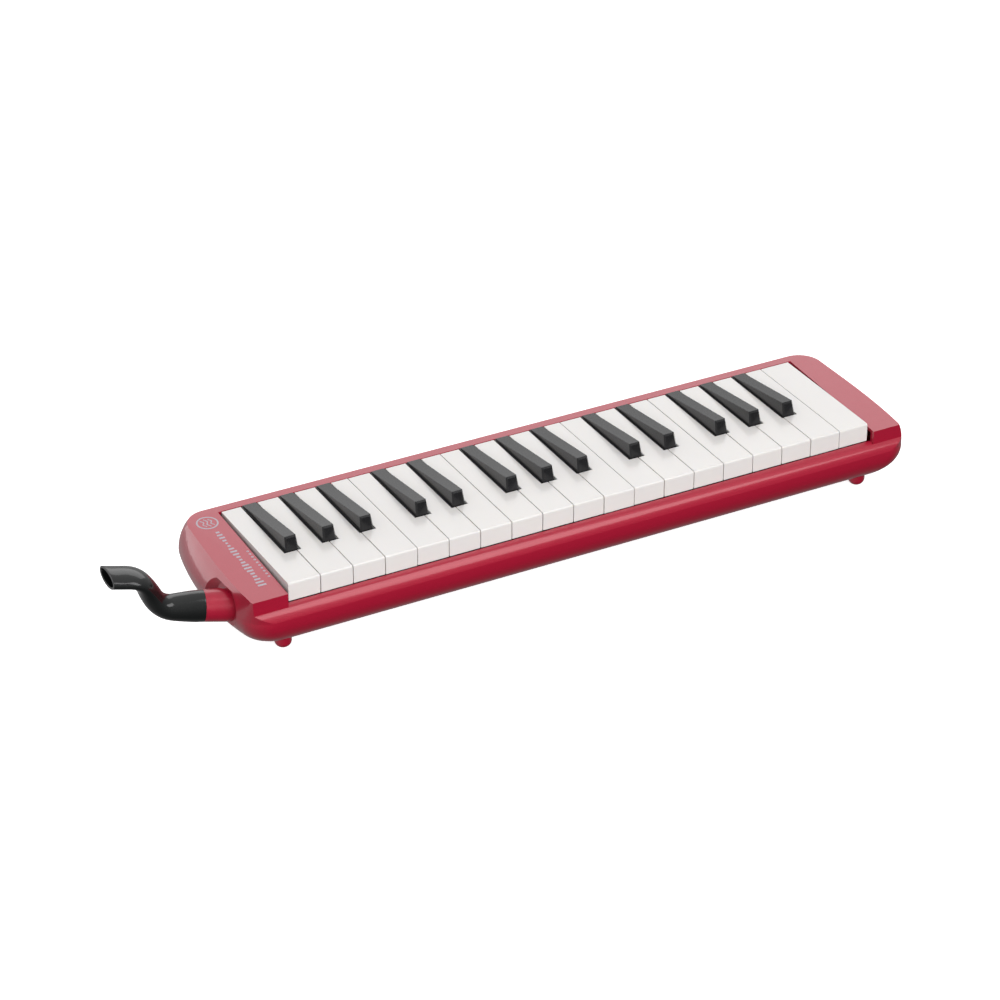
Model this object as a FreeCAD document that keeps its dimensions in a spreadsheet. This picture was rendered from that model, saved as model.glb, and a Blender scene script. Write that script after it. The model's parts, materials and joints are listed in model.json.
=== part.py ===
import FreeCAD, Part
import math
import os
import re
import Sketcher

# Melodica with 32 keys, blown through a short mouthpiece at its left end.
# X runs along the keyboard (bass to treble), Y from the player to the back and Z up.
# The origin lies on the table, under the middle of the case.

Vector = FreeCAD.Vector

# ---------------------------------------------------------------- the keyboard's layout

WHITE_COUNT = 19
KEY_COUNT = 32
NOTES = ["f", "fs", "g", "gs", "a", "as", "b", "c", "cs", "d", "ds", "e"]
BLACK_NOTES = {"fs", "gs", "as", "cs", "ds"}
FIRST_OCTAVE = 3
VALVE_COILS = 5

# ---------------------------------------------------------------- driving dimensions, in mm

DIMENSIONS = [
    # keyboard
    ("white_pitch", 20.0),
    ("key_gap", 0.5),
    ("key_length", 88.6),
    ("key_top", 45.0),
    ("key_front", -45.5),
    ("head_length", 30.0),
    ("head_depth", 11.5),
    ("neck_depth", 8.0),
    ("key_skin", 1.8),
    ("key_edge_radius", 1.2),
    ("black_width", 9.4),
    ("black_top_width", 6.8),
    ("black_height", 8.2),
    ("black_back_height", 0.4),
    ("black_front_slant", 2.2),
    ("black_bevel", 0.9),
    ("black_flange", 0.7),
    ("black_gap", 0.5),
    # key action
    ("lever_width", 8.0),
    ("lever_reach", 12.0),
    ("boss_radius", 3.0),
    ("pivot_setback", 2.9),
    ("pivot_depth", 8.0),
    ("rod_radius", 1.0),
    ("rod_clearance", 0.06),
    ("rod_overhang", 4.0),
    ("arm_thickness", 2.8),
    ("arm_drop", 20.5),
    ("pad_radius", 4.0),
    ("pad_thickness", 1.6),
    ("fin_thickness", 1.6),
    ("comb_thickness", 1.7),
    ("comb_reach", 1.3),
    ("comb_clearance", 0.02),
    ("stop_leg_length", 4.0),
    ("felt_thickness", 2.2),
    ("felt_width", 13.0),
    ("felt_setback", 1.0),
    ("spring_thickness", 0.3),
    ("spring_width", 3.0),
    ("spring_reach", 18.0),
    ("spring_tip", 3.0),
    ("spring_land", 6.0),
    ("spring_root", 1.0),
    # case
    ("left_panel", 23.5),
    ("right_panel", 18.5),
    ("panel_bow", 1.0),
    ("corner_reach", 23.5),
    ("end_bow", 7.5),
    ("case_half_depth", 53.5),
    ("front_corner_radius", 16.0),
    ("panel_front_radius", 4.0),
    ("back_corner_radius", 10.0),
    ("panel_back_radius", 14.0),
    ("crease_height", 27.0),
    ("base_height", 7.0),
    ("wall", 2.0),
    ("rail_width", 6.0),
    ("cheek_drop", 4.0),
    ("cheek_front", 4.0),
    ("rim_gap", 0.8),
    ("band_fullness", 0.876),
    ("side_radius", 41.0),
    ("back_radius", 41.0),
    ("hull_radius", 19.0),
    ("base_inset", 14.0),
    ("bay_gap", 1.7),
    ("screw_radius", 1.5),
    ("screw_head_radius", 2.8),
    ("boss_wall", 2.0),
    ("screw_inset", 10.5),
    ("middle_screw_y", 25.4),
    ("screw_seat", 4.0),
    ("screw_head_height", 2.0),
    ("screw_reach", 9.0),
    ("screw_clearance", 0.2),
    # how far a cutting tool runs past the face that it cuts
    ("overcut", 1.0),
    # feet and hand strap
    ("foot_radius", 5.0),
    ("foot_flat_radius", 2.4),
    ("foot_dome_height", 3.5),
    ("foot_dome_radius", 4.5),
    ("foot_shank_radius", 2.0),
    ("foot_inset", 36.5),
    ("strap_length", 150.0),
    ("strap_width", 25.0),
    ("strap_thickness", 1.6),
    ("anchor_length", 18.0),
    ("anchor_thickness", 2.2),
    ("anchor_overhang", 4.0),
    ("anchor_margin", 3.0),
    ("strap_screw_radius", 0.9),
    ("strap_screw_margin", 1.5),
    ("strap_head_radius", 1.35),
    ("strap_head_height", 0.6),
    # reed block and wind chest
    ("block_front", -23.5),
    ("block_back", 38.0),
    ("block_bottom", 15.6),
    ("block_top", 27.5),
    ("block_overhang", 5.0),
    ("cell_width", 8.8),
    ("cell_depth", 8.4),
    ("cell_front", -15.0),
    ("cell_back", 35.5),
    ("vent_radius", 3.0),
    ("vent_height", 21.0),
    ("plate_thickness", 1.0),
    ("plate_front", -19.0),
    ("plate_back", 33.0),
    ("plate_gap", 0.6),
    ("plate_overhang", 1.0),
    ("reed_long", 36.0),
    ("reed_short", 15.0),
    ("reed_width", 3.2),
    ("reed_thickness", 0.3),
    ("reed_tail", 4.5),
    ("reed_tip_gap", 2.0),
    ("slot_gap", 0.25),
    ("rivet_radius", 0.9),
    ("rivet_height", 0.4),
    ("plate_screw_radius", 0.8),
    ("plate_screw_inset", 2.0),
    ("plate_end_inset", 1.2),
    ("plate_screw_grip", 4.0),
    ("plate_head_radius", 1.5),
    ("plate_head_height", 0.7),
    ("gasket_thickness", 0.8),
    ("chest_wall", 1.5),
    ("chest_floor", 9.0),
    ("chest_gap", 0.2),
    ("tray_setback", 0.5),
    ("passage_lip", 0.5),
    ("chest_end", 16.0),
    ("chest_end_half", 13.0),
    ("chest_end_floor", 12.5),
    ("chest_end_top", 39.0),
    # blow socket, at the left end
    ("socket_stand_out", 8.0),
    ("socket_mouth_y", -17.5),
    ("socket_yaw", 12.0),
    ("socket_tilt", 6.6),
    ("socket_radius", 9.0),
    ("socket_root_radius", 9.6),
    ("socket_length", 27.0),
    ("socket_bore", 6.6),
    ("socket_bore_depth", 16.0),
    ("socket_air_bore", 5.4),
    ("grommet_wall", 1.5),
    ("grommet_length", 8.0),
    ("fit_clearance", 0.05),
    ("scoop_radius", 12.5),
    ("scoop_rim", 1.0),
    ("scoop_flare", 30.0),
    ("scoop_depth", 13.5),
    ("scoop_length", 22.0),
    ("scoop_turn", 15.0),
    ("scoop_ceiling", 11.5),
    # mouthpiece
    ("spigot_clearance", 0.05),
    ("spigot_length", 14.0),
    ("mouth_wall", 1.4),
    ("mouth_shoulder", 6.0),
    ("mouth_run", 16.0),
    ("mouth_bend", 15.0),
    ("mouth_climb", 9.0),
    ("mouth_turn", 58.0),
    ("mouth_top_bend", 12.0),
    ("mouth_lip_slope", 3.0),
    ("mouth_lip", 12.0),
    ("mouth_slant", 10.0),
    ("lip_width", 21.5),
    ("lip_thickness", 8.8),
    ("waist_width", 16.0),
    ("waist_thickness", 12.0),
    # spit valve, at the right end
    ("valve_y", 12.0),
    ("valve_z", 21.0),
    ("valve_cap_radius", 4.5),
    ("valve_cap_length", 7.0),
    ("valve_flange", 1.0),
    ("valve_collar_length", 1.0),
    ("valve_stem_radius", 1.4),
    ("valve_hole_radius", 3.0),
    ("valve_seal_radius", 4.2),
    ("valve_seal_thickness", 1.2),
    ("valve_clearance", 0.08),
    ("valve_wire", 0.3),
    ("valve_coil_radius", 3.0),
]

document = FreeCAD.newDocument("Melodica")
sheet = document.addObject("Spreadsheet::Sheet", "Dims")
for row, (alias, number) in enumerate(DIMENSIONS, start=1):
    sheet.set(f"A{row}", alias)
    sheet.set(f"B{row}", str(number))
    sheet.setAlias(f"B{row}", alias)
document.recompute()

CELLS = {alias: f"Dims.{alias}" for alias, _ in DIMENSIONS}

# ---------------------------------------------------------------- derived places

SEMITONE = "(white_pitch * 7 / 12)"
HALF_KEYS = f"(white_pitch * {WHITE_COUNT / 2})"
KEY_BACK = "(key_front + key_length)"
PIVOT_Y = f"({KEY_BACK} + pivot_setback)"
PIVOT_Z = "(key_top - pivot_depth)"
CORNER_X = f"({HALF_KEYS} + corner_reach)"
LEFT_PANEL_X = f"({HALF_KEYS} + left_panel)"
RIGHT_PANEL_X = f"({HALF_KEYS} + right_panel)"
BAY_X = f"({HALF_KEYS} + bay_gap)"
END_X = f"({CORNER_X} + end_bow)"
BOW_RADIUS = "((case_half_depth ^ 2 + end_bow ^ 2) / (2 * end_bow))"
RIM_Y = "(key_front - rim_gap)"
RIM_Z = "(key_top - head_depth)"
CHEEK_Y = "(key_front - cheek_front)"
CHEEK_Z = "(key_top - cheek_drop)"
ARM_FRONT = "(block_back + pad_thickness)"
ARM_BACK = f"({ARM_FRONT} + arm_thickness)"
BLOCK_X = f"({HALF_KEYS} + block_overhang)"
CHEST_X = f"({HALF_KEYS} + chest_end)"
CHEST_TOP = "(block_bottom - gasket_thickness)"
CREASE = "crease_height"
RAIL_BACK = f"({KEY_BACK} + rail_width)"
BAND_RADIUS = f"(band_fullness * sqrt((case_half_depth + {RIM_Y}) ^ 2 + ({RIM_Z} - {CREASE}) ^ 2))"
MOUTH_X = f"(-({END_X} + socket_stand_out))"
SOCKET_END_Y = "(socket_mouth_y - socket_length * sin(socket_yaw) * cos(socket_tilt))"


# ---------------------------------------------------------------- modelling helpers

def in_sheet(expression):
    """The expression with each dimension's name pointing at its cell."""
    return re.sub(r"[a-z][a-z_0-9]*", lambda found: CELLS.get(found[0], found[0]), str(expression))


def amount(expression):
    """The expression's present value, in mm or degrees."""
    found = sheet.evalExpression(in_sheet(expression))
    return float(getattr(found, "Value", found))


def bind(item, prop, expression):
    item.setExpression(prop, in_sheet(expression))


def box(name, x, y, z):
    """A block between the low and high expressions given for each axis."""
    item = document.addObject("Part::Box", name)
    for size, corner, (low, high) in (("Length", "x", x), ("Width", "y", y), ("Height", "z", z)):
        bind(item, size, f"({high}) - ({low})")
        bind(item, f"Placement.Base.{corner}", low)
    return item


AXIS_TURNS = {
    "x": FreeCAD.Rotation(Vector(0, 1, 0), 90),
    "y": FreeCAD.Rotation(Vector(1, 0, 0), -90),
    "z": FreeCAD.Rotation(),
}


def rod(name, axis, base, radius, length):
    """A cylinder that starts at base and runs along the positive axis."""
    item = document.addObject("Part::Cylinder", name)
    item.Placement = FreeCAD.Placement(Vector(), AXIS_TURNS[axis])
    bind(item, "Radius", radius)
    bind(item, "Height", length)
    for corner, place in zip("xyz", base):
        bind(item, f"Placement.Base.{corner}", place)
    return item


def fuse(name, items):
    item = document.addObject("Part::MultiFuse", name)
    item.Shapes = items
    return item


def common(name, items):
    item = document.addObject("Part::MultiCommon", name)
    item.Shapes = items
    return item


def group(name, items):
    item = document.addObject("Part::Compound", name)
    item.Links = items
    return item


def cut(name, base, tools):
    item = document.addObject("Part::Cut", name)
    item.Base = base
    item.Tool = tools[0] if len(tools) == 1 else fuse(f"{name}_tools", tools)
    return item


# Each origin plane: its role, and the sign of its normal along the axis across it.
PLANES = {"xy": ("XY_Plane", 1), "xz": ("XZ_Plane", -1), "yz": ("YZ_Plane", 1)}


def new_body(name):
    return document.addObject("PartDesign::Body", name)


def new_sketch(body, plane, offset):
    """A sketch on one of the body's own origin planes, moved along the plane's normal."""
    role = PLANES[plane][0]
    sketch = body.newObject("Sketcher::SketchObject", f"{body.Name}_sketch")
    origin_plane = [item for item in body.Origin.OriginFeatures if item.Role == role][0]
    sketch.AttachmentSupport = [(origin_plane, "")]
    sketch.MapMode = "FlatFace"
    bind(sketch, "AttachmentOffset.Base.z", offset)
    return sketch


def arc_middle(start, end, radius, side):
    """The middle of the arc from start to end that bulges to the given side (+1 is the left)."""
    chord = end - start
    half = chord.Length / 2
    rise = radius - math.sqrt(radius ** 2 - half ** 2)
    left = Vector(-chord.y, chord.x, 0).normalize()
    return (start + end) / 2 + left * side * rise


def pin_point(sketch, curve, place, outline_point, at):
    """Hold one end of a curve at the outline's expressions."""
    for kind, expression, number in zip(("DistanceX", "DistanceY"), outline_point, (at.x, at.y)):
        index = sketch.addConstraint(Sketcher.Constraint(kind, -1, 1, curve, place, number))
        bind(sketch, f"Constraints[{index}]", expression)


def draw(sketch, outline, arcs=None):
    """A closed outline; arcs gives {index: (radius, side)} for stretches after points that aren't lines."""
    arcs = arcs or {}
    points = [Vector(amount(x), amount(y), 0) for x, y in outline]
    first = sketch.GeometryCount
    ends = []
    for index, start in enumerate(points):
        end = points[(index + 1) % len(points)]
        if index in arcs:
            radius, side = arcs[index]
            middle = arc_middle(start, end, amount(radius), side)
            curve = sketch.addGeometry(Part.Arc(start, middle, end), False)
            bound = sketch.addConstraint(Sketcher.Constraint("Radius", curve, amount(radius)))
            bind(sketch, f"Constraints[{bound}]", radius)
        else:
            curve = sketch.addGeometry(Part.LineSegment(start, end), False)
        forward = (sketch.getPoint(curve, 1) - start).Length < 1e-6
        ends.append((1, 2) if forward else (2, 1))
    count = len(points)
    for index in range(count):
        following = (index + 1) % count
        joint = (first + index, ends[index][1], first + following, ends[following][0])
        sketch.addConstraint(Sketcher.Constraint("Coincident", *joint))
        pin_point(sketch, first + index, ends[index][0], outline[index], points[index])


def draw_circle(sketch, centre, radius):
    at = Vector(amount(centre[0]), amount(centre[1]), 0)
    curve = sketch.addGeometry(Part.Circle(at, Vector(0, 0, 1), amount(radius)), False)
    pin_point(sketch, curve, 3, centre, at)
    index = sketch.addConstraint(Sketcher.Constraint("Radius", curve, amount(radius)))
    bind(sketch, f"Constraints[{index}]", radius)


def rectangle(low_x, high_x, low_y, high_y):
    return [(low_x, low_y), (high_x, low_y), (high_x, high_y), (low_x, high_y)]


def pad(body, plane, span, outline, arcs=None):
    """Material between the two ends of span, along the axis across the plane."""
    low, high = span
    start = low if PLANES[plane][1] > 0 else f"-({high})"
    sketch = new_sketch(body, plane, start)
    draw(sketch, outline, arcs)
    feature = body.newObject("PartDesign::Pad", f"{body.Name}_pad")
    feature.Profile = sketch
    bind(feature, "Length", f"({high}) - ({low})")
    return feature


def pocket(body, plane, span, outline=None, circle=None, arcs=None):
    """A cut between the two ends of span; a pocket runs against its sketch's normal."""
    low, high = span
    start = high if PLANES[plane][1] > 0 else f"-({low})"
    sketch = new_sketch(body, plane, start)
    if circle:
        draw_circle(sketch, *circle)
    else:
        draw(sketch, outline, arcs)
    feature = body.newObject("PartDesign::Pocket", f"{body.Name}_pocket")
    feature.Profile = sketch
    bind(feature, "Length", f"({high}) - ({low})")
    return feature


def prism(name, plane, span, outline, arcs=None):
    body = new_body(name)
    pad(body, plane, span, outline, arcs)
    return body


def dress_edges(body, kind, size_name, size, wanted):
    """A fillet or chamfer on the edges of the body's present shape that the test picks."""
    document.recompute()
    edges = body.Tip.Shape.Edges
    names = [f"Edge{index}" for index, edge in enumerate(edges, start=1) if wanted(edge)]
    feature = body.newObject(f"PartDesign::{kind}", f"{body.Name}_{kind.lower()}")
    feature.Base = (feature.BaseFeature, names)
    bind(feature, size_name, size)
    body.Tip = feature
    return feature


def upright(edge):
    box_ = edge.BoundBox
    return box_.XLength < 1e-4 and box_.YLength < 1e-4


def pattern_along_x(body, feature, pitch, count):
    """Repeat one feature along X; the body's tip is set so that the copies count."""
    pattern = body.newObject("PartDesign::LinearPattern", f"{body.Name}_pattern")
    pattern.Originals = [feature]
    x_axis = [item for item in body.Origin.OriginFeatures if item.Role == "X_Axis"][0]
    pattern.Direction = (x_axis, [""])
    pattern.Occurrences = count
    bind(pattern, "Length", f"({pitch}) * {count - 1}")
    body.Tip = pattern
    return pattern


nodes = []


def node(item, label):
    """Name a finished sub-part; the label is also its file's name."""
    item.Label = label
    nodes.append(item)
    return item


# ---------------------------------------------------------------- keys

def cell_centre(key):
    """X of the middle of a key's place in the action, which is spaced by equal semitones."""
    return f"(-{HALF_KEYS} + {SEMITONE} * {key + 0.5})"


def note_name(key):
    octave = FIRST_OCTAVE + (key + 5) // 12
    return f"{NOTES[key % 12]}{octave}"


def is_black(key):
    return 0 <= key < KEY_COUNT and NOTES[key % 12] in BLACK_NOTES


def add_lever(body, key):
    """The rear of a key: a web to the pivot boss, and the arm behind the reed block."""
    centre = cell_centre(key)
    span = (f"{centre} - lever_width / 2", f"{centre} + lever_width / 2")
    web_y = f"{KEY_BACK} - lever_reach"
    underside = "key_top - neck_depth"
    arm_end = f"{PIVOT_Z} - arm_drop"
    outline = [
        (web_y, f"{PIVOT_Z} + boss_radius"),
        (web_y, underside),
        (ARM_FRONT, underside),
        (ARM_FRONT, arm_end),
        (ARM_BACK, arm_end),
        (ARM_BACK, f"{PIVOT_Z} - boss_radius"),
        (PIVOT_Y, f"{PIVOT_Z} - boss_radius"),
        (f"{PIVOT_Y} + boss_radius", PIVOT_Z),
        (PIVOT_Y, f"{PIVOT_Z} + boss_radius"),
    ]
    pad(body, "yz", span, outline, arcs={6: ("boss_radius", -1), 7: ("boss_radius", -1)})
    pocket(body, "yz", span, circle=((PIVOT_Y, PIVOT_Z), "rod_radius + rod_clearance"))


def key_with_pad(body, key):
    """The key and its felt pad, which closes the key's vent in the back of the reed block."""
    base = (cell_centre(key), "block_back", "vent_height")
    felt = rod(f"pad_{key}", "y", base, "pad_radius", "pad_thickness")
    colour = "black" if is_black(key) else "white"
    node(group(f"key_{key}", [body, felt]), f"{colour}_key_{note_name(key)}")


def white_key(key, white_index):
    """A white key: a deep hollow head, and a neck that leaves room for its black neighbours."""
    left = f"(-{HALF_KEYS} + white_pitch * {white_index} + key_gap / 2)"
    right = f"(-{HALF_KEYS} + white_pitch * {white_index + 1} - key_gap / 2)"
    notch = f"({KEY_BACK} - key_length + head_length)"
    back = f"({KEY_BACK} - key_gap)"
    neck_left = left
    neck_right = right
    outline = [(left, "key_front"), (right, "key_front")]
    if is_black(key + 1):
        neck_right = f"({cell_centre(key + 1)} - black_width / 2 - black_gap)"
        outline += [(right, notch), (neck_right, notch)]
    outline += [(neck_right, back)]
    if is_black(key - 1):
        neck_left = f"({cell_centre(key - 1)} + black_width / 2 + black_gap)"
    outline += [(neck_left, back)]
    if is_black(key - 1):
        outline += [(neck_left, notch), (left, notch)]
    body = prism(f"white_{key}", "xy", ("key_top - neck_depth", "key_top"), outline)
    head = rectangle(left, right, "key_front", notch)
    pad(body, "xy", ("key_top - head_depth", "key_top - neck_depth"), head)
    hollow = rectangle(f"{left} + key_skin", f"{right} - key_skin",
                       "key_front + key_skin", f"{notch} - key_skin")
    pocket(body, "xy", ("key_top - head_depth", "key_top - key_skin"), hollow)
    add_lever(body, key)
    front = amount("key_front")
    top = amount("key_top")

    def front_top(edge):
        return all(abs(v.Y - front) < 1e-4 and abs(v.Z - top) < 1e-4 for v in edge.Vertexes)

    dress_edges(body, "Fillet", "Radius", "key_edge_radius", front_top)
    key_with_pad(body, key)


def black_key(key):
    """A black key: a wedge above the white tops, on a block that swings between the white necks."""
    centre = cell_centre(key)
    front = "(key_front + head_length + black_gap)"
    back = f"({KEY_BACK} - key_gap)"
    half = "(black_width / 2)"
    body = prism(
        f"black_{key}", "xy", ("key_top - neck_depth", "key_top"),
        rectangle(f"{centre} - {half}", f"{centre} + {half}", front, back),
    )
    leg = rectangle(f"{centre} - {half} + key_skin", f"{centre} + {half} - key_skin",
                    front, f"{front} + stop_leg_length")
    pad(body, "xy", ("key_top - head_depth", "key_top - neck_depth"), leg)
    side = [
        (front, "key_top"),
        (f"{front} + black_front_slant", "key_top + black_height"),
        (back, "key_top + black_back_height"),
        (back, "key_top"),
    ]
    waist = f"({half} - black_flange)"
    pad(body, "yz", (f"{centre} - {waist}", f"{centre} + {waist}"), side)
    top_half = "(black_top_width / 2)"
    for sign in (-1, 1):
        inner = f"{centre} + {sign} * {top_half}"
        outer = f"{centre} + {sign} * {waist}"
        beyond = f"{centre} + {sign} * ({half} + overcut)"
        flank = [
            (outer, "key_top + black_back_height"),
            (beyond, "key_top + black_back_height"),
            (beyond, "key_top + black_height + overcut"),
            (inner, "key_top + black_height + overcut"),
            (inner, "key_top + black_height"),
        ]
        pocket(body, "xz", (f"{front} - overcut", f"{back} + overcut"), flank)
    add_lever(body, key)
    slope_top = amount("key_top + black_height")
    front_y = amount(front)

    def crest(edge):
        box_ = edge.BoundBox
        return box_.ZMax > slope_top - 0.01 and box_.YMax < front_y + amount("black_front_slant") + 0.1

    dress_edges(body, "Chamfer", "Size", "black_bevel", crest)
    key_with_pad(body, key)


def build_keys():
    white_index = 0
    for key in range(KEY_COUNT):
        if is_black(key):
            black_key(key)
        else:
            white_key(key, white_index)
            white_index += 1


# ---------------------------------------------------------------- key action

def build_action():
    rod_x = f"({HALF_KEYS} + rod_overhang)"
    pivot_rod = rod("pivot_rod", "x", (f"-{rod_x}", PIVOT_Y, PIVOT_Z), "rod_radius", f"2 * {rod_x}")
    node(pivot_rod, "key_pivot_rod")

    # The comb hangs under the back rail; its fins hold the rod between the levers.
    comb_top = "(key_top - wall)"
    comb_low = f"({comb_top} - comb_thickness)"
    comb_front = f"({PIVOT_Y} - boss_radius)"
    comb_back = f"({PIVOT_Y} + comb_reach)"
    first = f"(-{HALF_KEYS} - fin_thickness / 2)"
    comb = prism(
        "comb", "xy", (comb_low, comb_top),
        rectangle(first, f"{first} + {SEMITONE} * {KEY_COUNT} + fin_thickness", comb_front, comb_back),
    )
    fin = pad(
        comb, "yz", (first, f"{first} + fin_thickness"),
        rectangle(comb_front, comb_back, f"{PIVOT_Z} - boss_radius", comb_low),
    )
    pattern_along_x(comb, fin, SEMITONE, KEY_COUNT + 1)
    pocket(
        comb, "yz", (f"-{HALF_KEYS} - fin_thickness", f"{HALF_KEYS} + fin_thickness"),
        circle=((PIVOT_Y, PIVOT_Z), "rod_radius + comb_clearance"),
    )
    node(comb, "pivot_comb")

    # One strip of spring steel with a finger bent up under each key.
    foot_y = "(block_back - 2 * spring_reach)"
    strip_top = "(block_top + spring_thickness)"
    springs = prism(
        "springs", "xy", ("block_top", strip_top),
        rectangle(f"-{HALF_KEYS}", f"{cell_centre(KEY_COUNT - 1)} + spring_width",
                  f"{foot_y} - spring_land", foot_y),
    )
    finger_x = f"({cell_centre(0)} - spring_width / 2)"
    under_key = "(key_top - neck_depth)"
    tip_y = f"{foot_y} + spring_reach"
    finger = [
        (f"{foot_y} - spring_root", "block_top"),
        (foot_y, "block_top"),
        (tip_y, f"{under_key} - spring_thickness"),
        (f"{tip_y} + spring_tip", f"{under_key} - spring_thickness"),
        (f"{tip_y} + spring_tip", under_key),
        (tip_y, under_key),
        (f"{foot_y} - spring_root", strip_top),
    ]
    bent = pad(springs, "yz", (finger_x, f"{finger_x} + spring_width"), finger)
    pattern_along_x(springs, bent, SEMITONE, KEY_COUNT)
    node(springs, "key_spring_comb")

    felt_front = "(block_front + felt_setback)"
    felt = box(
        "stop_felt", (f"-{HALF_KEYS}", HALF_KEYS), (felt_front, f"{felt_front} + felt_width"),
        ("block_top", "block_top + felt_thickness"),
    )
    node(felt, "key_stop_felt")


# ---------------------------------------------------------------- case

SCREW_X = f"({CORNER_X} - screw_inset)"
SCREW_Y = "(case_half_depth - screw_inset)"
SCREW_PLACES = [(f"{side_x}{SCREW_X}", y) for side_x in ("-", "") for y in (f"-{SCREW_Y}", SCREW_Y)]
SCREW_PLACES += [(f"{side_x}({END_X} - screw_inset)", "middle_screw_y") for side_x in ("-", "")]

FOOT_PLACES = [(f"{side_x}{HALF_KEYS}", f"{side_y}foot_inset")
               for side_x in ("-", "") for side_y in ("-", "")]

STRAP_SCREW_X = "((strap_length - anchor_length) / 2 + anchor_overhang)"
STRAP_SCREW_Y = "(strap_width / 2 + strap_screw_margin)"
STRAP_SCREW_PLACES = [(f"{side_x}{STRAP_SCREW_X}", f"{side_y}{STRAP_SCREW_Y}")
                      for side_x in ("-", "") for side_y in ("-", "")]


def uprights(name, places, low, high, radius):
    """Cylinders of one height at each of the places."""
    return [rod(f"{name}_{index}", "z", (x, y, low), radius, f"({high}) - ({low})")
            for index, (x, y) in enumerate(places)]


def place_on_socket(item):
    """Turn a piece built along X to the blow socket's axis, with its zero at the socket's mouth."""
    mouth = f"vector({MOUTH_X}; socket_mouth_y; {CREASE})"
    bind(item, "Placement", f"placement({mouth}; rotation(-socket_yaw; socket_tilt; 0))")
    return item


def socket_tool(name, start, length, radius, end_radius, turn=0):
    """A cone that starts on the socket's axis, start mm inside its mouth, and runs outward by length."""
    item = document.addObject("Part::Cone", name)
    bind(item, "Placement", f"placement(vector({start}; 0; 0); rotation({turn}; -90; 0))")
    bind(item, "Radius1", radius)
    bind(item, "Radius2", end_radius)
    bind(item, "Height", length)
    return place_on_socket(group(f"{name}_placed", [item]))


def scoop_tool(name, extra_radius, extra_depth):
    """The bowl round the blow socket, turned to the front and cut off level above the socket."""
    near = f"(scoop_radius + {extra_radius})"
    bowl = socket_tool(f"{name}_cone", f"scoop_depth + {extra_depth}", "scoop_length",
                       near, f"{near} + scoop_flare", "scoop_turn")
    half = "(scoop_radius + scoop_flare + 2 * wall)"
    below_ceiling = box(f"{name}_space", (f"{MOUTH_X} - {half}", f"{MOUTH_X} + {half}"),
                        (f"socket_mouth_y - 2 * {half}", f"socket_mouth_y + 2 * {half}"),
                        ("-overcut", f"{CREASE} + scoop_ceiling + {extra_depth}"))
    return common(name, [bowl, below_ceiling])


def plan_wire(height, left, right, front, back, corner_radii):
    """The case's outline at one height: straight front and back, bowed ends, rounded corners.

    left and right are each end's distances from the middle of the case, at its corners and at its bow.
    """
    plan = [(-left[0], front), (right[0], front), (right[0], back), (-left[0], back)]
    corners = [Vector(x, y, height) for x, y in plan]
    middle = (front + back) / 2
    bows = [Vector(x, middle, height) for x in (right[1], -left[1])]
    edges = [
        Part.makeLine(corners[0], corners[1]),
        Part.Arc(corners[1], bows[0], corners[2]).toShape(),
        Part.makeLine(corners[2], corners[3]),
        Part.Arc(corners[3], bows[1], corners[0]).toShape(),
    ]
    slab = Part.Face(Part.Wire(edges)).extrude(Vector(0, 0, 1))
    for side, radius in zip((-1, 1), corner_radii):
        near = [edge for edge in slab.Edges if upright(edge) and side * (edge.Vertexes[0].Y - middle) > 0]
        slab = slab.makeFillet(radius, near)
    floors = [face for face in slab.Faces if face.BoundBox.ZMax < height + 1e-6]
    return floors[0].OuterWire


HULL_STEPS = 6


def lower_hull(name, wall):
    """The tray below the crease: its side curves in to a flat base, alike all round its corners."""
    top = Vector(wall, amount(CREASE), 0)
    bottom = Vector(amount("base_inset"), amount("base_height") + wall, 0)
    side = Part.Arc(top, arc_middle(top, bottom, amount("hull_radius") - wall, -1), bottom)
    radii = [amount("front_corner_radius") - wall, amount("back_corner_radius") - wall]
    wires = []
    for step in range(HULL_STEPS + 1):
        share = step / HULL_STEPS
        place = side.value(side.FirstParameter + (side.LastParameter - side.FirstParameter) * share)
        half_depth = amount("case_half_depth") - place.x
        reach = amount(CORNER_X) - place.x
        end = (reach, reach + amount("end_bow"))
        wires.append(plan_wire(place.y, end, end, -half_depth, half_depth, radii))
    item = document.addObject("Part::Feature", name)
    item.Shape = Part.makeLoft(wires, True, False)
    return item


def curved_in(rise, depth, radius):
    """How far a bulging wall has come in at this rise above the crease; depth is all of it."""
    whole_rise = amount("key_top") - amount(CREASE)
    chord = math.hypot(depth, whole_rise)
    stand_off = math.sqrt(radius ** 2 - (chord / 2) ** 2) / chord
    centre_in = depth / 2 + stand_off * whole_rise
    centre_up = whole_rise / 2 - stand_off * depth
    return centre_in - math.sqrt(radius ** 2 - (rise - centre_up) ** 2)


def upper_hull(name, wall):
    """The case above the crease: its ends and back curve in, and its front corners tighten."""
    whole_rise = amount("key_top") - amount(CREASE)
    top_rise = whole_rise - wall if wall else whole_rise + amount("overcut")
    front = -amount("case_half_depth") + wall
    wires = []
    for step in range(HULL_STEPS + 1):
        rise = top_rise * step / HULL_STEPS
        share = rise / whole_rise
        ends = []
        for panel in (LEFT_PANEL_X, RIGHT_PANEL_X):
            corner = amount(CORNER_X) - share ** 2 * amount(f"{CORNER_X} - {panel} + panel_bow")
            bow = amount(END_X) - curved_in(rise, amount(f"{END_X} - {panel}"), amount("side_radius"))
            ends.append((corner - wall, bow - wall))
        back = amount("case_half_depth") - curved_in(rise, amount(f"case_half_depth - {RAIL_BACK}"),
                                                     amount("back_radius"))
        radii = [amount(f"{low} + ({high} - {low}) * {share}") - wall
                 for low, high in (("front_corner_radius", "panel_front_radius"),
                                   ("back_corner_radius", "panel_back_radius"))]
        wires.append(plan_wire(amount(CREASE) + rise, *ends, front, back - wall, radii))
    item = document.addObject("Part::Feature", name)
    item.Shape = Part.makeLoft(wires, True, False)
    return item


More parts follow.
